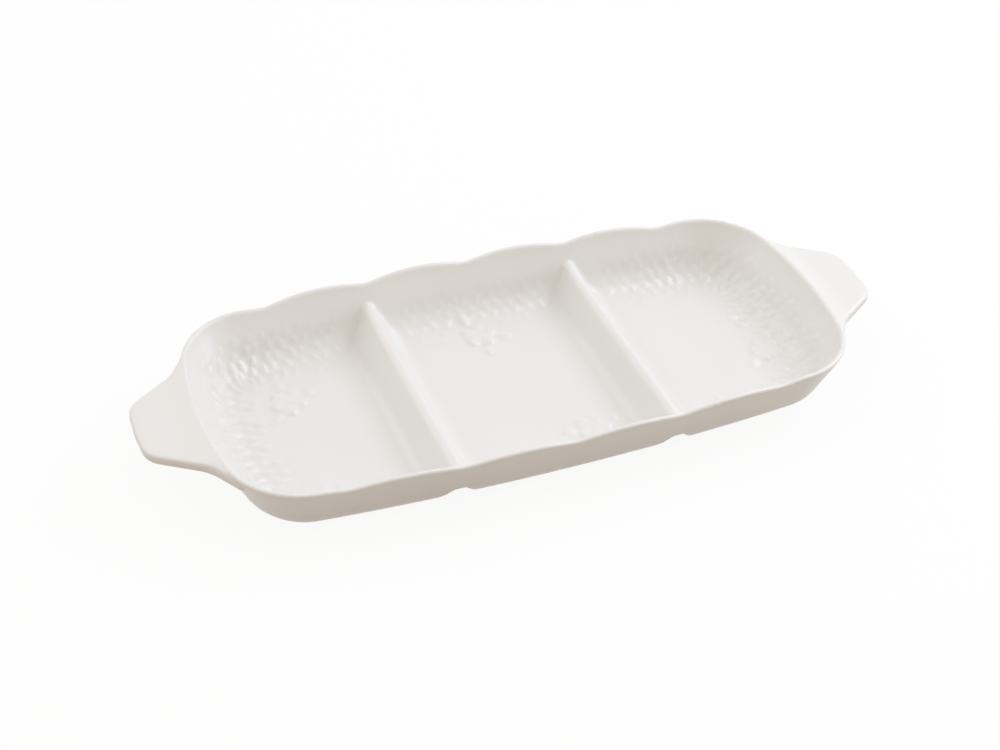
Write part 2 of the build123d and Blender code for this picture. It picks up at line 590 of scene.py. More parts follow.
@dataclass
class WallForm:
    """The shell's section in millimetres: heights, leans and coves of its two faces."""

    underside_z: float = 1.8
    floor_z: float = 6.2
    dip_z: float = 30.0
    thickness: float = 3.6
    lean: float = math.radians(21.0)
    outer_cove: float = 14.8
    inner_cove: float = 13.4
    rim_rounding: float = 1.25
    rim_thinning: float = 1.1
    thinning_start: float = 17.0
    thinning_run: float = 13.0
    lobe_rise: float = 3.0
    lobe_pitch: float = 51.6
    lobes: int = 4
    end_rise: float = 1.9
    end_run: float = 18.0
    dip_softness: float = 2.4
    softening_reach: float = 4.0
    line_step: float = 0.25
    line_end: float = 190.0
    floor_slack: float = 1.2
    end_lean: float = math.radians(25.0)
    end_lean_start: float = 88.0
    end_lean_run: float = 52.0

    def __post_init__(self) -> None:
        """Works out the two faces and the rim's height line."""
        self.wall_run = self.thickness / math.cos(self.lean)
        self.cove_turn = math.pi / 2 - self.lean
        self.outer = self._face(self.underside_z, self.outer_cove, self.outer_inset)
        self.inner = self._face(self.floor_z, self.inner_cove, self.inner_inset)
        step = self.line_step
        self.line_x = np.arange(0.0, self.line_end, step)
        half = self.lobe_pitch * self.lobes / 2
        place = (self.line_x % self.lobe_pitch) / self.lobe_pitch
        lobes = self.lobe_rise * (1 - (2 * place - 1) ** 2)
        ends = self.end_rise * (1 - (1 - risen(self.line_x, half, self.end_run)) ** 2)
        height = np.where(self.line_x < half, lobes, ends)
        width = int(self.softening_reach * self.dip_softness / step)
        kernel = np.exp(-0.5 * (np.arange(-width, width + 1) * step / self.dip_softness) ** 2)
        padded = np.concatenate([height[width:0:-1], height, np.full(width, height[-1])])
        self.line_z = np.convolve(padded, kernel / kernel.sum(), "valid")

    def _face(self, base: float, cove: float,
              straight: Callable[[np.ndarray | float], np.ndarray | float]) -> WallFace:
        """One face with its cove.

        Args:
            base: The height of its foot.
            cove: The radius of its cove.
            straight: The inset of its straight part at a height.

        Returns:
            The face.
        """
        flat = straight(base) + cove * math.tan(self.cove_turn / 2)
        return WallFace(base, cove, flat, base + cove * (1 - math.sin(self.lean)), straight)

    def outer_inset(self, z: np.ndarray | float) -> np.ndarray | float:
        """Inset of the outer face's straight part at a height."""
        return (self.dip_z - z) * math.tan(self.lean)

    def inner_inset(self, z: np.ndarray | float) -> np.ndarray | float:
        """Inset of the inner face above its cove at a height; the wall thins towards the rim."""
        share = eased(risen(z, self.thinning_start, self.thinning_run))
        return self.outer_inset(z) + self.wall_run - self.rim_thinning * share

    def end_draw(self, x: np.ndarray, z: np.ndarray) -> np.ndarray:
        """How far the ends draw in towards the middle, beyond the sides' lean.

        Args:
            x: Places along the dish.
            z: Their heights.

        Returns:
            The draws, less than 0 at the left end.
        """
        share = eased(risen(np.abs(x), self.end_lean_start, self.end_lean_run))
        depth = np.clip(self.dip_z - z, 0.0, self.dip_z - self.underside_z)
        return np.sign(x) * share * depth * (math.tan(self.end_lean) - math.tan(self.lean))

    def rim_z(self, x: np.ndarray) -> np.ndarray:
        """Height of the rim's top over places along the dish."""
        return self.dip_z + np.interp(np.abs(x), self.line_x, self.line_z)

    def climb(self, z: np.ndarray, inset: np.ndarray) -> np.ndarray:
        """How far up the inner face places lie.

        Args:
            z: Their heights.
            inset: Their insets.

        Returns:
            Distances from the foot of the cove, less than 0 on the floor.
        """
        face = self.inner
        turn = np.arcsin(np.clip((face.flat - inset) / face.cove, -1.0, 1.0))
        low = np.where(inset > face.flat, face.flat - inset, face.cove * turn)
        high = face.cove * self.cove_turn + (z - face.cove_top) / math.cos(self.lean)
        return np.where(z > face.cove_top, high, low)


class SkinPlaces:
    """Where points of the skin lie against the plan line and the wall's two faces."""

    def __init__(self, plan: PlanLine, wall: WallForm, points: np.ndarray, level: float) -> None:
        """Works the places out.

        Args:
            plan: The plan line.
            wall: The wall's section.
            points: Places on the skin in millimetres.
            level: The inset at which lengths along the line are measured.
        """
        x, y, z = points.T
        straight = x + wall.end_draw(x, z)
        quarter_run, self.inset = plan.locate(straight, y, level)
        quarter = plan.quarter_length(level)
        self.run = np.where(x > 0, np.where(y > 0, quarter_run, 2 * quarter - quarter_run),
                            np.where(y > 0, 4 * quarter - quarter_run, 2 * quarter + quarter_run))
        self.inner = wall.inner.inset(z)
        self.outer = wall.outer.inset(z)
        self.middle = (self.inner + self.outer) / 2
        self.climb = wall.climb(z, self.inset)
        self.inside = (self.inset > self.middle) & (z > wall.floor_z - wall.floor_slack)


@dataclass
class ShellBody:
    """The tray itself: outer face, scalloped rim, inner face and floor as one closed solid."""

    plan: PlanLine
    wall: WallForm
    cove_steps: int = 9
    wall_steps: int = 6
    rim_steps: int = 5

    def rings(self) -> list[np.ndarray]:
        """The section's rings, from the underside over the rim to the floor, in metres."""
        inner = self._face_rings(self.wall.inner, -1.0)
        return self._face_rings(self.wall.outer, 1.0) + inner[::-1]

    def _face_rings(self, face: WallFace, inwards: float) -> list[np.ndarray]:
        """The rings of one face, from its foot to the top of the rim.

        Args:
            face: The wall's face.
            inwards: 1 where the rim rounds off inwards, as on the outer face, or else -1.

        Returns:
            Each ring's points in metres.
        """
        rounding = self.wall.rim_rounding
        shoulder = self.wall.rim_z(self.plan.at(0.0)[:, 0]) - rounding
        made = []
        for turn in parted(self.wall.cove_turn, self.cove_steps):
            z = face.base + face.cove * (1 - math.cos(turn))
            made.append(self._ring(face.flat - face.cove * math.sin(turn), z))
        for share in parted(1.0, self.wall_steps)[1:-1]:
            z = face.cove_top + (shoulder - face.cove_top) * share
            made.append(self._ring(face.straight(z), z))
        for turn in parted(math.pi / 2, self.rim_steps):
            draw = rounding * (1 - math.cos(turn))
            made.append(self._ring(face.straight(shoulder) + inwards * draw,
                                   shoulder + rounding * math.sin(turn)))
        return made

    def _ring(self, inset: np.ndarray | float, z: np.ndarray | float) -> np.ndarray:
        """One ring of the section.

        Args:
            inset: How far it is drawn in from the plan line, at each station or at all.
            z: Its height at each station or at all.

        Returns:
            The ring's points in metres.
        """
        flat = self.plan.at(inset)
        height = np.broadcast_to(z, len(flat))
        flat[:, 0] -= self.wall.end_draw(flat[:, 0], height)
        return np.column_stack([flat, height]) * MM

    def build(self) -> bpy.types.Object:
        """Returns the shell as a closed solid."""
        return ring_solid("shell_body", self.rings())


@dataclass
class Divider:
    """A saddle divider from wall to wall, with the hollow underneath it, in millimetres."""

    plan: PlanLine
    wall: WallForm
    x: float
    height: float = 16.0
    sag: float = 0.9
    half_base: float = 15.6
    cove: float = 8.0
    crest: float = 3.4
    flank_steps: int = 7
    length_steps: int = 24
    hollow_half_base: float = 12.4
    hollow_height: float = 10.4
    hollow_half_roof: float = 2.6
    hollow_steps: int = 10
    hollow_below: float = 6.0
    hollow_beyond: float = 4.0
    skirt_lift: float = 1.0

    def profile(self, height: float) -> np.ndarray:
        """The ridge's section as places across it and heights over the floor.

        Args:
            height: The crest's height.

        Returns:
            Points from one foot over the crest to the other, then along the skirt.
        """
        centre_z = height - self.crest
        reach = math.hypot(self.half_base, self.cove - centre_z)
        lean = (math.atan2(self.cove - centre_z, self.half_base)
                + math.acos((self.cove + self.crest) / reach))
        upright = math.pi / 2
        side = [(self.half_base, -self.wall.floor_z + self.wall.underside_z + self.skirt_lift)]
        for part in parted(lean - upright, self.flank_steps):
            turn = upright + part
            side.append((self.half_base - self.cove * math.cos(turn),
                         self.cove - self.cove * math.sin(turn)))
        for part in parted(upright - lean, self.flank_steps)[:-1]:
            turn = lean + part
            side.append((self.crest * math.cos(turn), centre_z + self.crest * math.sin(turn)))
        right = np.array(side)
        left = right[::-1] * np.array([-1.0, 1.0])
        return np.vstack([right, [(0.0, height)], left])

    def rings(self) -> list[np.ndarray]:
        """Sections of the ridge from the front wall to the back one.

        Returns:
            Each section's points in metres.
        """
        radius = self.plan.side_radius
        made = []
        for part in parted(2.0, self.length_steps):
            share = part - 1
            section = self.profile(self.height - self.sag * (1 - share**2))
            x = self.x + section[:, 0]
            z = self.wall.floor_z + section[:, 1]
            middle = (self.wall.inner.inset(z) + self.wall.outer.inset(z)) / 2
            bow = radius - np.sqrt(radius**2 - x**2)
            made.append(np.column_stack([x, share * (self.plan.width / 2 - bow - middle), z]) * MM)
        return made

    def build(self, name: str) -> bpy.types.Object:
        """Returns the ridge as a closed solid."""
        return ring_solid(name, self.rings())

    def hollow_half(self, share: np.ndarray | float) -> np.ndarray | float:
        """Half width of the hollow at a share of its height."""
        return blended(self.hollow_half_base, self.hollow_half_roof, share)

    def build_hollow(self, name: str) -> bpy.types.Object:
        """Builds the solid that is cut away underneath, open at both side walls.

        Args:
            name: The object's name.

        Returns:
            The solid.
        """
        base = self.wall.underside_z
        right = [(self.hollow_half_base, base - self.hollow_below)]
        for share in parted(1.0, self.hollow_steps):
            right.append((self.hollow_half(share), base + self.hollow_height * share))
        section = np.array(right + [(-x, z) for x, z in right[::-1]])
        reach = self.plan.width / 2 + self.hollow_beyond
        rings = []
        for share in (-1.0, 0.0, 1.0):
            y = np.full(len(section), share * reach)
            rings.append(np.column_stack([self.x + section[:, 0], y, section[:, 1]]) * MM)
        return ring_solid(name, rings)


@dataclass
class Handle:
    """A flat tab handle with rounded corners and a flared root, in millimetres."""

    plan: PlanLine
    side: float
    top_z: float = 30.2
    thickness: float = 4.7
    reach: float = 26.7
    tip_half: float = 17.0
    tip_bow: float = 0.8
    tip_corner: float = 12.0
    waist_half: float = 32.5
    waist_reach: float = 2.2
    waist_radius: float = 22.0
    root_half: float = 48.0
    root_inset: float = 9.5
    edge_rounding: float = 1.1
    edge_steps: int = 5
    corner_steps: int = 12
    inner_stations: int = 26
    wall_depth: float = 2.0
    lift_inside: float = 1.5
    lift_run: float = 11.0
    lift_height: float = 1.45
    lift_half: float = 46.0
    lift_fade: float = 14.0
    upward_from: float = 0.05
    upward_run: float = 0.5

    def _rounded(self, points: list[tuple[float, float, float]]) -> list[tuple[float, float]]:
        """Rounds the corners of an open line.

        Args:
            points: Places and the rounding radius at each.

        Returns:
            The line's points with arcs for its corners.
        """
        made = [points[0][:2]]
        for before, here, after in zip(points, points[1:], points[2:]):
            corner = np.array(here[:2])
            radius = here[2]
            if radius == 0:
                made.append(tuple(corner))
                continue
            back = unit(np.array(before[:2]) - corner)
            ahead = unit(np.array(after[:2]) - corner)
            half = math.acos(float(np.clip(back @ ahead, -1, 1))) / 2
            centre = corner + unit(back + ahead) * radius / math.sin(half)
            start = corner + back * radius / math.tan(half)
            stop = corner + ahead * radius / math.tan(half)
            first = math.atan2(*(start - centre)[::-1])
            last = math.atan2(*(stop - centre)[::-1])
            sweep = (last - first + math.pi) % (2 * math.pi) - math.pi
            for part in parted(sweep, self.corner_steps):
                made.append((centre[0] + radius * math.cos(first + part),
                             centre[1] + radius * math.sin(first + part)))
        made.append(points[-1][:2])
        return made

    def outline(self) -> np.ndarray:
        """The handle's plan outline on the right of the dish, its inner end inside the wall.

        Returns:
            The outline's points, the inner end last.
        """
        end = self.plan.length / 2
        tip = end + self.reach
        depth = self.wall_depth
        upper = self._rounded([
            (float(self.plan.end_x(np.array(self.root_half), depth)), self.root_half, 0.0),
            (end - self.root_inset + depth, self.root_half, 0.0),
            (end + self.waist_reach, self.waist_half, self.waist_radius),
            (tip - self.tip_bow, self.tip_half, self.tip_corner),
            (tip, 0.0, 0.0),
        ])
        outer = upper + [(x, -y) for x, y in upper[-2::-1]]
        across = np.linspace(-self.root_half, self.root_half, self.inner_stations)[1:-1]
        inner = list(zip(self.plan.end_x(across, depth), across))
        return np.array(outer + inner)

    def build(self, name: str) -> bpy.types.Object:
        """Builds the handle as a closed solid with rounded edges.

        Args:
            name: The object's name.

        Returns:
            The solid.
        """
        flat = self.outline()
        along = unit(unit(np.roll(flat, -1, axis=0) - flat) - unit(np.roll(flat, 1, axis=0) - flat))
        inward = np.column_stack([along[:, 1], -along[:, 0]])
        low = self.top_z - self.thickness
        turns = parted(math.pi / 2, self.edge_steps)
        rings = []
        for base, sign, order in ((low, 1.0, turns), (self.top_z, -1.0, turns[::-1])):
            for turn in order:
                draw = self.edge_rounding * (1 - math.sin(turn))
                z = base + sign * self.edge_rounding * (1 - math.cos(turn))
                ring = (flat + inward * draw) * self.side
                rings.append(np.column_stack([ring, np.full(len(ring), z)]) * MM)
        return ring_solid(name, rings)

    def lift(self, points: np.ndarray, normals: np.ndarray, wall: WallForm) -> np.ndarray:
        """Rise of the handle's top where it runs up to the rim.

        Args:
            points: Places on the skin in millimetres.
            normals: The skin's normals there.
            wall: The wall's section.

        Returns:
            The rise at each point, in millimetres.
        """
        x, y, z = points.T
        _, inset = self.plan.locate(x + wall.end_draw(x, z), y, 0.0)
        beyond = wall.outer_inset(z) - inset
        own = ((x * self.side > 0) & (beyond > -self.lift_inside)
               & (z > self.top_z - self.edge_rounding))
        across = risen(self.lift_half - np.abs(y), 0.0, self.lift_fade)
        upward = risen(normals[:, 2], self.upward_from, self.upward_run)
        share = np.clip(1 - np.maximum(beyond, 0.0) / self.lift_run, 0.0, 1.0)
        rise = self.lift_height * share**2 * across * upward
        short = np.clip(self.top_z + rise - z, 0.0, rise)
        return np.where(own, short, 0.0)


@dataclass(frozen=True)
class BladeForm:
    """How the outline and the top of a blade are drawn, as powers and shares."""

    outline_power: float
    taper: float
    slope: float
    base_share: float
    tip_share: float
    end_power: float


class Blade(Enum):
    """The kinds of raised blade in the relief."""

    LEAF = BladeForm(outline_power=0.7, taper=0.2, slope=1.5, base_share=0.8, tip_share=0.2,
                     end_power=0.4)
    PETAL = BladeForm(outline_power=0.5, taper=0.0, slope=1.0, base_share=0.7, tip_share=0.3,
                      end_power=0.0)


@dataclass(frozen=True)
class Leaf:
    """One raised leaf or petal on the unrolled wall, in millimetres."""

    run: float
    climb: float
    heading: float
    length: float
    width: float
    height: float
    blade: Blade = Blade.LEAF
    thinnest: float = 0.05
    shade_band_share: float = 0.35

    def press(self, run: np.ndarray, climb: np.ndarray) -> tuple[np.ndarray, np.ndarray]:
        """The leaf's own height nearby, and its share of painted shade and pooling glaze beside it.

        Args:
            run: Length along the wall at each place.
            climb: Distance up the wall at each place.

        Returns:
            Heights in millimetres and shares from 0 to 1.
        """
        form = self.blade.value
        dx, dy = run - self.run, climb - self.climb
        along = 2 * (dx * math.cos(self.heading) + dy * math.sin(self.heading)) / self.length
        across = np.abs(-dx * math.sin(self.heading) + dy * math.cos(self.heading))
        span = np.clip(1 - along**2, 0.0, 1.0)
        half = self.width / 2 * span**form.outline_power * (1 - form.taper * along)
        tilt = (form.base_share + form.tip_share * along) * span**form.end_power
        body = np.clip(1 - (across / np.maximum(half, self.thinnest)) ** 2, 0.0, 1.0)
        # Painted shade: a band just outside the blade's outline, with pooling glaze.
        beside = np.clip(1 - (across - half) / (self.shade_band_share * self.width), 0.0, 1.0) * span
        return self.height * body**form.slope * tilt, np.where(body > 0, 0.0, beside)


@dataclass
class LeafRelief:
    """Rows of small leaves up each bay's walls and open blossoms at their foot, in millimetres."""

    plan: PlanLine
    wall: WallForm
    seed: int = 41
    level: float = 13.0
    pitch: float = 6.3
    row_step: float = 5.4
    rows: int = 8
    low: float = -12.0
    full_from: float = -4.0
    side_from: float = 1.0
    fade_from: float = 11.0
    end_top: float = 27.0
    side_top: float = 24.0
    side_share: float = 0.3
    side_size: float = 0.78
    end_from: float = 78.0
    end_span: float = 40.0
    length: float = 7.2
    width: float = 5.6
    height: float = 1.3
    lean: float = 0.15
    fork: float = 0.1
    sway: float = 0.15
    turn_spread: float = 0.2
    side_spread: float = 0.75
    waves: int = 7
    jitter: float = 0.2
    sizes: tuple[float, float] = (0.8, 1.1)
    rises: tuple[float, float] = (0.7, 1.1)
    blossoms: tuple[tuple[float, float], ...] = (
        (-105.0, 23.0), (-3.0, 41.0), (22.0, -40.0), (125.0, -15.0))
    blossom_clear: float = 11.0
    blossom_fade: float = 3.0
    blossom_reach: float = 3.0
    petals: int = 5
    petal_length: float = 8.4
    petal_width: float = 8.8
    petal_height: float = 1.6
    petal_rises: tuple[float, float] = (0.85, 1.1)
    petal_out: float = 0.54
    leaf_turns: tuple[float, ...] = (0.5, 1.5, 3.5)
    leaf_out: float = 1.45
    leaf_growth: float = 1.1
    heart: float = 3.0
    divider_clear: float = 16.0
    mask_from: float = 15.0
    mask_run: float = 1.5
    reach_share: float = 0.6
    covered_share: float = 2.0

    def __post_init__(self) -> None:
        """Works out the length of the whole line."""
        self.total = 4 * self.plan.quarter_length(self.level)

    def leaves(self) -> list[Leaf]:
        """Lays the rows of leaves round the whole line, on the unrolled wall.

        Returns:
            The leaves.
        """
        random = np.random.default_rng(self.seed)
        columns = int(self.total / self.pitch)
        made: list[Leaf] = []
        for row in range(self.rows):
            for column in range(columns):
                place = column + 0.5 * (row % 2) + random.uniform(-self.jitter, self.jitter)
                run = place * self.total / columns
                climb = self.low + self.row_step * (row + random.uniform(-self.jitter, self.jitter))
                ends = self._near_end(run)
                spread = blended(self.side_spread, self.turn_spread, ends)
                heading = (math.pi / 2 - self.lean * ends
                           + self.fork * (1 - 2 * (column % 2))
                           + random.uniform(-spread, spread)
                           + self.sway * math.sin(math.tau * self.waves * run / self.total))
                size = random.uniform(*self.sizes) * blended(self.side_size, 1, ends)
                rise = random.uniform(*self.rises) * self._strength(run, climb)
                kept = random.uniform(0.0, 1.0) < self._density(run, climb)
                if kept and self._is_clear(run):
                    made.append(Leaf(run, climb, heading, self.length * size,
                                     self.width * size, self.height * rise))
        return made

    def _around(self, run: float) -> float:
        """Length along the line from the middle of the nearer long side."""
        quarter = self.total / 4
        return abs((run + quarter) % (2 * quarter) - quarter)

    def _near_end(self, run: float) -> float:
        """0 along the long sides and 1 round the ends."""
        return risen(self._around(run), self.end_from, self.end_span)

    def _strength(self, run: float, climb: float) -> float:
        """How high the leaves stand: full round the ends, low along the sides, less upwards.

        Args:
            run: A length along the line.
            climb: A distance up the wall.

        Returns:
            A share of the leaves' full height.
        """
        share = self._near_end(run)
        top = blended(self.side_top, self.end_top, share)
        level = blended(self.side_share, 1, share)
        return level * risen(top - climb, 0.0, top - self.fade_from)

    def _density(self, run: float, climb: float) -> float:
        """Share of the leaves kept, thinning out on to the floor, sooner along the sides."""
        full_from = blended(self.side_from, self.full_from, self._near_end(run))
        return risen(climb, self.low, full_from - self.low) ** 2

    def petals_and_leaves(self) -> list[Leaf]:
        """Every blossom in plan: petals round a point, a raised middle and leaves behind.

        Returns:
            The petals and leaves of all blossoms.
        """
        random = np.random.default_rng(self.seed)
        petal = Leaf(0.0, 0.0, 0.0, self.petal_length, self.petal_width, self.petal_height,
                     Blade.PETAL)
        leaf = Leaf(0.0, 0.0, 0.0, self.length * self.leaf_growth,
                    self.width * self.leaf_growth, self.height)
        made = []
        for x, y in self.blossoms:
            first = random.uniform(0.0, math.tau)
            for turn in range(self.petals):
                heading = first + math.tau * turn / self.petals
                high = replace(petal, height=self.petal_height * random.uniform(*self.petal_rises))
                made.append(self._spoke(high, x, y, heading, self.petal_out))
            for turn in self.leaf_turns:
                heading = (first + math.tau * turn / self.petals
                           + random.uniform(-self.jitter, self.jitter))
                made.append(self._spoke(leaf, x, y, heading, self.leaf_out))
            made.append(replace(petal, run=x, climb=y, length=self.heart, width=self.heart))
        return made

    def _spoke(self, leaf: Leaf, x: float, y: float, heading: float, out: float) -> Leaf:
        """A leaf set at a share of a petal's length from a point, heading away from it."""
        away = out * self.petal_length
        return replace(leaf, heading=heading, run=x + away * math.cos(heading),
                       climb=y + away * math.sin(heading))

    def _is_clear(self, run: float) -> bool:
        """Whether a place on the line is clear of the dividers' feet."""
        return abs(self._around(run) - self.plan.divider_x) > self.divider_clear

    def press(self, points: np.ndarray) -> tuple[np.ndarray, np.ndarray]:
        """Works the relief out at places on the skin.

        Args:
            points: Places on the skin in millimetres.

        Returns:
            The relief's height at each point, 0 away from the bays' walls, and the share of
            painted shade and pooling glaze there.
        """
        places = SkinPlaces(self.plan, self.wall, points, self.level)
        x, y, _ = points.T
        mask = risen(np.abs(np.abs(x) - self.plan.divider_x), self.mask_from, self.mask_run)
        inner = places.inside & (mask > 0)
        relief = np.zeros(len(points))
        pool_and_shade = np.zeros(len(points))
        wall = np.nonzero(inner & (places.climb > self.low - self.length))[0]
        leaves = self.leaves()
        # Leaves near the line's start are repeated past its end, and the other way round.
        for shift in (self.total, -self.total):
            over = [replace(f, run=f.run + shift) for f in leaves]
            leaves += [f for f in over if -self.length < f.run < self.total + self.length]
        # The leaves' heights and the painted shade beside them.
        relief[wall], pool_and_shade[wall] = self._stamp(places.run[wall], places.climb[wall], leaves)
        far = np.min([np.hypot(x - bx, y - by) for bx, by in self.blossoms], axis=0)
        around = risen(far, self.blossom_clear, self.blossom_fade)
        near = np.nonzero(inner & (far < self.blossom_reach * self.petal_length))[0]
        raised, beside = self._stamp(x[near], y[near], self.petals_and_leaves())
        relief *= around
        pool_and_shade *= around
        relief[near] = np.maximum(relief[near], raised)
        pool_and_shade[near] = np.maximum(pool_and_shade[near], beside)
        return relief * mask, pool_and_shade * mask

    def _stamp(self, run: np.ndarray, climb: np.ndarray,
               leaves: list[Leaf]) -> tuple[np.ndarray, np.ndarray]:
        """Works leaves out at points of the unrolled wall, or of the plan.

        Args:
            run: Length along the line at each point, or place along the dish.
            climb: Distance up the wall at each point, or place across the dish.
            leaves: The leaves and petals that may lie there.

        Returns:
            The relief's height and the share of painted shade and pooling glaze at each point.
        """
        order = np.argsort(run)
        sorted_run = run[order]
        height = np.zeros(len(run))
        pool_and_shade = np.zeros(len(run))
        for leaf in leaves:
            half = self.reach_share * max(leaf.length, leaf.width)
            first, last = np.searchsorted(sorted_run, [leaf.run - half, leaf.run + half])
            near = order[first:last]
            near = near[np.abs(climb[near] - leaf.climb) < half]
            raised, beside = leaf.press(run[near], climb[near])
            height[near] = np.maximum(height[near], raised)
            # Painted shade beside each blade, deeper by taller ones and cleared where blades rise.
            pool_and_shade[near] = np.maximum(pool_and_shade[near], beside * leaf.height / self.height)
        return height, np.clip(pool_and_shade - self.covered_share * height / self.height, 0.0, 1.0)


@dataclass
class GlazedSkin:
    """The dish's one glazed skin: fused, softened, given its relief and parted by member."""

    plan: PlanLine
    wall: WallForm
    dividers: list[Divider]
    handles: list[Handle]
    relief: LeafRelief
    voxel: float = 0.55
    quick_voxel: float = 1.1
    soften_share: float = 0.5
    soften_rounds: int = 6
    even_rounds: int = 3
    calm_rounds: int = 14
    relief_rounds: int = 2
    divider_half: float = 16.4
    ridge_end: float = 9.0
    ridge_blend: float = 2.0
    ridge_lift: float = 0.4
    hollow_over: float = 0.8
    hollow_beside: float = 1.0
    handle_gap: float = 0.35
    handle_from: float = 100.0

    def fuse(self) -> bpy.types.Object:
        """Joins the closed solids into one skin with soft inner corners.

        Returns:
            The skin.
        """
        body = ShellBody(self.plan, self.wall).build()
        ridges = [d.build(f"ridge_{n}") for n, d in enumerate(self.dividers)]
        hollows = [d.build_hollow(f"hollow_{n}") for n, d in enumerate(self.dividers)]
        tabs = [h.build(f"tab_{n}") for n, h in enumerate(self.handles)]
        deselect_all()
        for piece in [body, *ridges, *tabs]:
            piece.select_set(True)
        bpy.context.view_layer.objects.active = body
        bpy.ops.object.join()
        voxel = self.voxel * MM
        apply_modifier(body, "REMESH", {"mode": "VOXEL", "voxel_size": voxel})
        for hollow in hollows:
            apply_modifier(body, "BOOLEAN", {"operation": "DIFFERENCE", "object": hollow,
                                             "solver": "EXACT"})
            bpy.data.objects.remove(hollow)
        apply_modifier(body, "REMESH", {"mode": "VOXEL", "voxel_size": voxel})
        self._lift_handles(body)
        apply_modifier(body, "SMOOTH", {"factor": self.soften_share,
                                        "iterations": self.soften_rounds})
        make_active(body)
        bpy.ops.object.shade_smooth()
        LOG.info("fused skin: %d faces", len(body.data.polygons))
        return body

    @staticmethod
    def _points(mesh: bpy.types.Mesh) -> tuple[np.ndarray, np.ndarray]:
        """Reads a mesh's points.

        Args:
            mesh: The mesh.

        Returns:
            Their places in metres and their normals.
        """
        places = np.empty(len(mesh.vertices) * 3)
        mesh.vertices.foreach_get("co", places)
        normals = np.empty(len(mesh.vertices) * 3)
        mesh.vertices.foreach_get("normal", normals)
        return places.reshape(-1, 3), normals.reshape(-1, 3)

    def _lift_handles(self, skin: bpy.types.Object) -> None:
        """Runs the handles' tops up to the rim.

        Args:
            skin: The fused skin.
        """
        places, normals = self._points(skin.data)
        for handle in self.handles:
            places[:, 2] += handle.lift(places / MM, normals, self.wall) * MM
        skin.data.vertices.foreach_set("co", places.ravel())
        skin.data.update()

    def raise_relief(self, skin: bpy.types.Object) -> None:
        """Raises the relief and notes where painted shade and pooling glaze lie beside it.

        Args:
            skin: The fused skin.
        """
        mesh = skin.data
        places, normals = self._points(mesh)
        pressed = np.column_stack(self.relief.press(places / MM))
        height, pool_and_shade = self._evened(mesh, pressed, self.relief_rounds).T
        moved = places + normals * height[:, None] * MM
        mesh.vertices.foreach_set("co", moved.ravel())
        # Painted shade beside the relief, with pooling glaze, for the glaze's colour.
        painted = mesh.attributes.new("recess_shade", "FLOAT", "POINT")
        painted.data.foreach_set("value", pool_and_shade.astype(np.float32))
        mesh.update()

    def member_of(self, points: np.ndarray) -> np.ndarray:
        """Finds the member that each place belongs to.

        Args:
            points: Places on the skin in millimetres.

        Returns:
            The members' numbers, in their order.
        """
        x, _, z = points.T
        where = SkinPlaces(self.plan, self.wall, points, self.relief.level)
        order = list(Member)
        spacing = self.plan.divider_x
        from_divider = np.abs(np.abs(x) - spacing)
        thirds = np.where(x < -spacing, 0, np.where(x < spacing, 1, 2))
        shells = order.index(Member.LEFT_SHELL) + thirds
        number = np.where(where.inside, order.index(Member.LEFT_BAY) + thirds, shells)
        on_ridge = (where.inside & (from_divider < self.divider_half)
                    & (where.inset > where.inner + self.ridge_lift))
        number = np.where(on_ridge, order.index(Member.LEFT_DIVIDER) + (x > 0), number)
        low = z < self.wall.underside_z + self.dividers[0].hollow_height + self.hollow_over
        number = np.where(low & (from_divider < self._hollow_half(z)), shells, number)
        outside = (where.inset < where.outer - self.handle_gap) & (np.abs(x) > self.handle_from)
        return np.where(outside, order.index(Member.LEFT_HANDLE) + (x > 0), number)

    def _on_ridge(self, points: np.ndarray) -> np.ndarray:
        """How far each place is on a divider's plain faces.

        Args:
            points: Places on the skin in millimetres.

        Returns:
            Shares: 1 on those faces, and 0 at the divider's ends and feet.
        """
        x, y, z = points.T
        across = self.divider_half - np.abs(np.abs(x) - self.plan.divider_x)
        along = self.plan.width / 2 - self.ridge_end - np.abs(y)
        near = [risen(gap, 0.0, self.ridge_blend)
                for gap in (across, along, z - self.wall.floor_z)]
        return near[0] * near[1] * near[2]

    def _hollow_half(self, z: np.ndarray) -> np.ndarray:
        """Half width of the hollow under a divider at a height, a little widened."""
        share = risen(z, self.wall.underside_z, self.dividers[0].hollow_height)
        return self.dividers[0].hollow_half(share) + self.hollow_beside

    @staticmethod
    def _evened(mesh: bpy.types.Mesh, values: np.ndarray, rounds: int) -> np.ndarray:
        """Evens values out over a mesh's points, as a thick glaze evens out what it covers.

        Args:
            mesh: The mesh.
            values: One row of values for each of its points.
            rounds: How often each point is averaged with its neighbours.

        Returns:
            The evened rows.
        """
        ends = np.empty(len(mesh.edges) * 2, np.int32)
        mesh.edges.foreach_get("vertices", ends)
        first, second = ends.reshape(-1, 2).T
        count = len(values)
        beside = np.bincount(first, minlength=count) + np.bincount(second, minlength=count)
        for _ in range(rounds):
            sums = [np.bincount(first, column[second], count)
                    + np.bincount(second, column[first], count) for column in values.T]
            values = (2 * values + np.column_stack(sums)) / (2 + beside)[:, None]
        return values

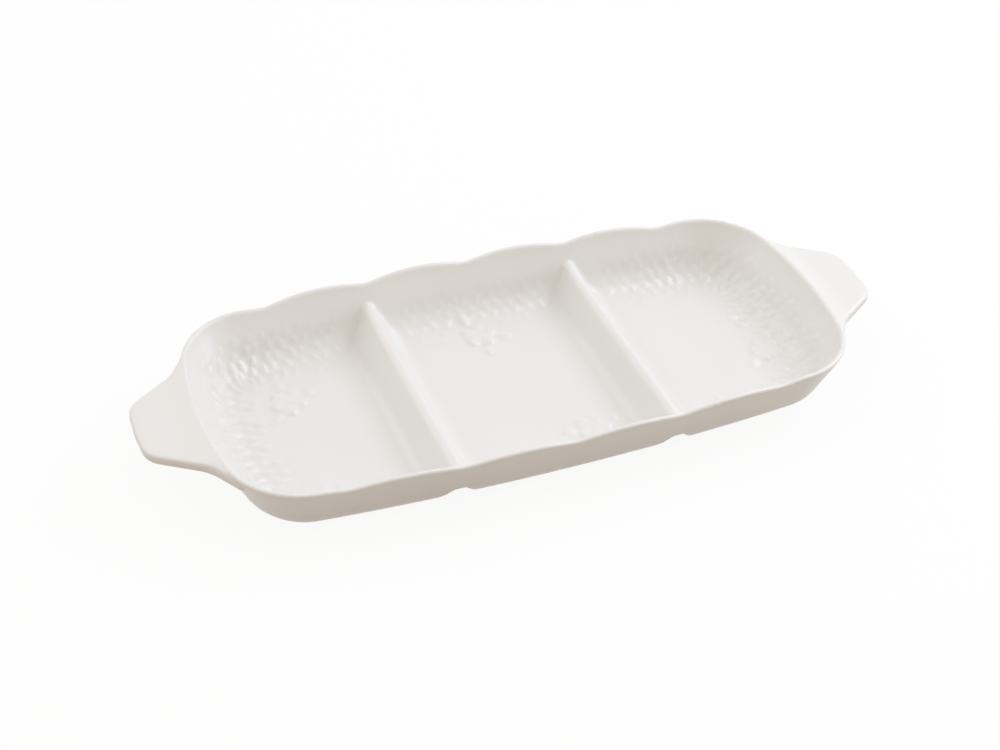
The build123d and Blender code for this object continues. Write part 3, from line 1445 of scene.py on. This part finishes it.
    def part(self, skin: bpy.types.Object) -> dict[Member, bpy.types.Object]:
        """Parts the skin by member, each keeping the fused skin's smooth normals.

        Args:
            skin: The skin with its relief.

        Returns:
            The pieces by member.
        """
        mesh = skin.data
        places, normals = self._points(mesh)
        normals = self._evened(mesh, normals, self.even_rounds)
        calm = self._evened(mesh, normals, self.calm_rounds)
        share = self._on_ridge(places / MM)[:, None]
        normals = normals * (1 - share) + calm * share
        normals = unit(normals)
        kept = mesh.attributes.new("skin_normal", "FLOAT_VECTOR", "POINT")
        kept.data.foreach_set("vector", normals.astype(np.float32).ravel())
        pieces = {}
        for number, member in enumerate(Member):
            make_active(skin)
            centres = np.empty(len(skin.data.polygons) * 3)
            skin.data.polygons.foreach_get("center", centres)
            chosen = self.member_of(centres.reshape(-1, 3) / MM) == number
            if chosen.all():
                skin.name = member.value
                pieces[member] = skin
                break
            bpy.ops.object.mode_set(mode="EDIT")
            bpy.ops.mesh.select_mode(type="FACE")
            bpy.ops.mesh.select_all(action="DESELECT")
            bpy.ops.object.mode_set(mode="OBJECT")
            skin.data.polygons.foreach_set("select", chosen)
            bpy.ops.object.mode_set(mode="EDIT")
            bpy.ops.mesh.separate(type="SELECTED")
            bpy.ops.object.mode_set(mode="OBJECT")
            made = next(o for o in bpy.context.selected_objects if o != skin)
            made.name = member.value
            pieces[member] = made
        for member, piece in pieces.items():
            self._keep_normals(piece)
            piece.data.name = member.value
            LOG.info("%s: %d faces", piece.name, len(piece.data.polygons))
        return pieces

    @staticmethod
    def _keep_normals(piece: bpy.types.Object) -> None:
        """Sets a piece's shading normals to those it had in the whole skin.

        Args:
            piece: The piece.
        """
        mesh = piece.data
        values = np.empty(len(mesh.vertices) * 3, np.float32)
        mesh.attributes["skin_normal"].data.foreach_get("vector", values)
        mesh.normals_split_custom_set_from_vertices(values.reshape(-1, 3).tolist())
        mesh.attributes.remove(mesh.attributes["skin_normal"])

    def build(self) -> dict[Member, bpy.types.Object]:
        """Fuses the skin, raises its relief and parts it.

        Returns:
            The pieces by member.
        """
        skin = self.fuse()
        self.raise_relief(skin)
        return self.part(skin)


@dataclass(frozen=True)
class Softbox:
    """A soft square lamp that points at the dish, in metres and watts."""

    name: str
    place: tuple[float, float, float]
    size: float
    power: float
    colour: tuple[float, float, float] = (0.72, 0.84, 1.0)

    def build(self) -> None:
        """Hangs the lamp."""
        data = bpy.data.lights.new(self.name, "AREA")
        data.shape = "SQUARE"
        data.size = self.size
        data.energy = self.power
        data.color = self.colour
        made = bpy.data.objects.new(self.name, data)
        made.location = self.place
        made.rotation_euler = (-Vector(self.place)).to_track_quat("-Z", "Y").to_euler()
        bpy.context.scene.collection.objects.link(made)


@dataclass
class Studio:
    """The camera, soft lamps, pale floor and white surround."""

    camera_place: tuple[float, float, float] = (-0.26723, -0.58895, 0.54300)
    azimuth: float = math.radians(23.686)
    pitch: float = math.radians(39.390)
    roll: float = math.radians(2.798)
    focal_pixels: float = 1782.38
    frame_pixels: float = 1000.0
    sensor: float = 36.0
    near_clip: float = 0.01
    floor_size: float = 6.0
    surround: tuple[float, float, float] = (1.0, 0.90, 0.78)
    surround_strength: float = 0.66
    softboxes: tuple[Softbox, ...] = (
        Softbox("right_softbox", (1.02, 0.16, 1.08), 0.85, 8.9),
        Softbox("right_window", (1.08, -0.08, 0.27), 0.45, 1.9),
        Softbox("back_softbox", (-1.32, 1.2, 1.5), 2.1, 16.0))

    def camera(self) -> None:
        """Sets the camera at the photograph's viewing angle."""
        sin_a, cos_a = math.sin(self.azimuth), math.cos(self.azimuth)
        sin_p, cos_p = math.sin(self.pitch), math.cos(self.pitch)
        sin_r, cos_r = math.sin(self.roll), math.cos(self.roll)
        ahead = Vector((sin_a * cos_p, cos_a * cos_p, -sin_p))
        right = Vector((cos_a, -sin_a, 0.0))
        up = right.cross(ahead)
        level = right * cos_r + up * sin_r
        tilt = up * cos_r - right * sin_r
        data = bpy.data.cameras.new("photo_camera")
        data.sensor_width = self.sensor
        data.sensor_fit = "HORIZONTAL"
        data.lens = self.focal_pixels / self.frame_pixels * self.sensor
        data.clip_start = self.near_clip
        made = bpy.data.objects.new("photo_camera", data)
        turn = Matrix((level, tilt, -ahead)).transposed().to_4x4()
        made.matrix_world = Matrix.Translation(self.camera_place) @ turn
        bpy.context.scene.collection.objects.link(made)
        bpy.context.scene.camera = made

    def world(self) -> None:
        """A plain white surround, warmer and dimmer as light than it looks to the camera."""
        world = bpy.data.worlds.new("studio")
        bpy.context.scene.world = world
        p = Painter(world)
        light = p.node("ShaderNodeBackground", {}, {
            "Color": (*self.surround, 1.0), "Strength": self.surround_strength})
        seen = p.node("ShaderNodeBackground", {}, {"Color": WHITE, "Strength": 1.0})
        p.finish(p.node("ShaderNodeMixShader", {}, {0: p.plainly_seen(), 1: light, 2: seen}),
                 "ShaderNodeOutputWorld")

    def floor(self) -> None:
        """Lays the pale floor that the dish stands on."""
        deselect_all()
        bpy.ops.mesh.primitive_plane_add(size=self.floor_size, location=(0.0, 0.0, 0.0))
        made = bpy.context.object
        made.name = "studio_floor"
        made.data.materials.append(PaleFloor().material())

    def build(self) -> None:
        """Sets the whole studio."""
        self.camera()
        self.world()
        self.floor()
        for softbox in self.softboxes:
            softbox.build()


class ServingDish:
    """The whole dish: its glazed skin and its bare feet."""

    def __init__(self, frame: dict[str, object]) -> None:
        """Keeps the loaded frame.
        """
        self.frame = frame
        self.plan = PlanLine()
        self.wall = WallForm()

    def build(self) -> None:
        """Builds the skin, dresses every piece and ties it to the frame."""
        dividers = [Divider(self.plan, self.wall, side * self.plan.divider_x)
                    for side in (-1.0, 1.0)]
        handles = [Handle(self.plan, side) for side in (-1.0, 1.0)]
        skin = GlazedSkin(self.plan, self.wall, dividers, handles,
                          LeafRelief(self.plan, self.wall))
        pieces = skin.build()
        stands_for = {
            Member.LEFT_DIVIDER: "left_divider", Member.RIGHT_DIVIDER: "right_divider",
            Member.LEFT_HANDLE: "left_handle", Member.RIGHT_HANDLE: "right_handle",
        }
        glaze = WhiteGlaze().material()
        for member, piece in pieces.items():
            self._dress(piece, glaze)
            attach(piece, "root")
            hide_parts(stands_for.get(member, "tray_shell"))
        clay = BareClay().material()
        for name in ("left_foot_ring", "middle_foot_ring", "right_foot_ring"):
            self._dress(self.frame["nodes"][name], clay)

    @staticmethod
    def _dress(piece: bpy.types.Object, finish: bpy.types.Material) -> None:
        """Gives a piece one finish all over.

        Args:
            piece: The piece.
            finish: Its material.
        """
        piece.data.materials.clear()
        piece.data.materials.append(finish)
        LOG.info("%s: dressed in %s", piece.name, finish.name)


def main() -> None:
    """Loads the frame and builds the dish and the studio."""
    logging.basicConfig(level=logging.INFO, format="%(name)s: %(message)s")
    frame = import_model()
    bpy.context.scene.view_settings.view_transform = "Standard"
    ServingDish(frame).build()
    Studio().build()


if __name__ == "__main__":
    main()
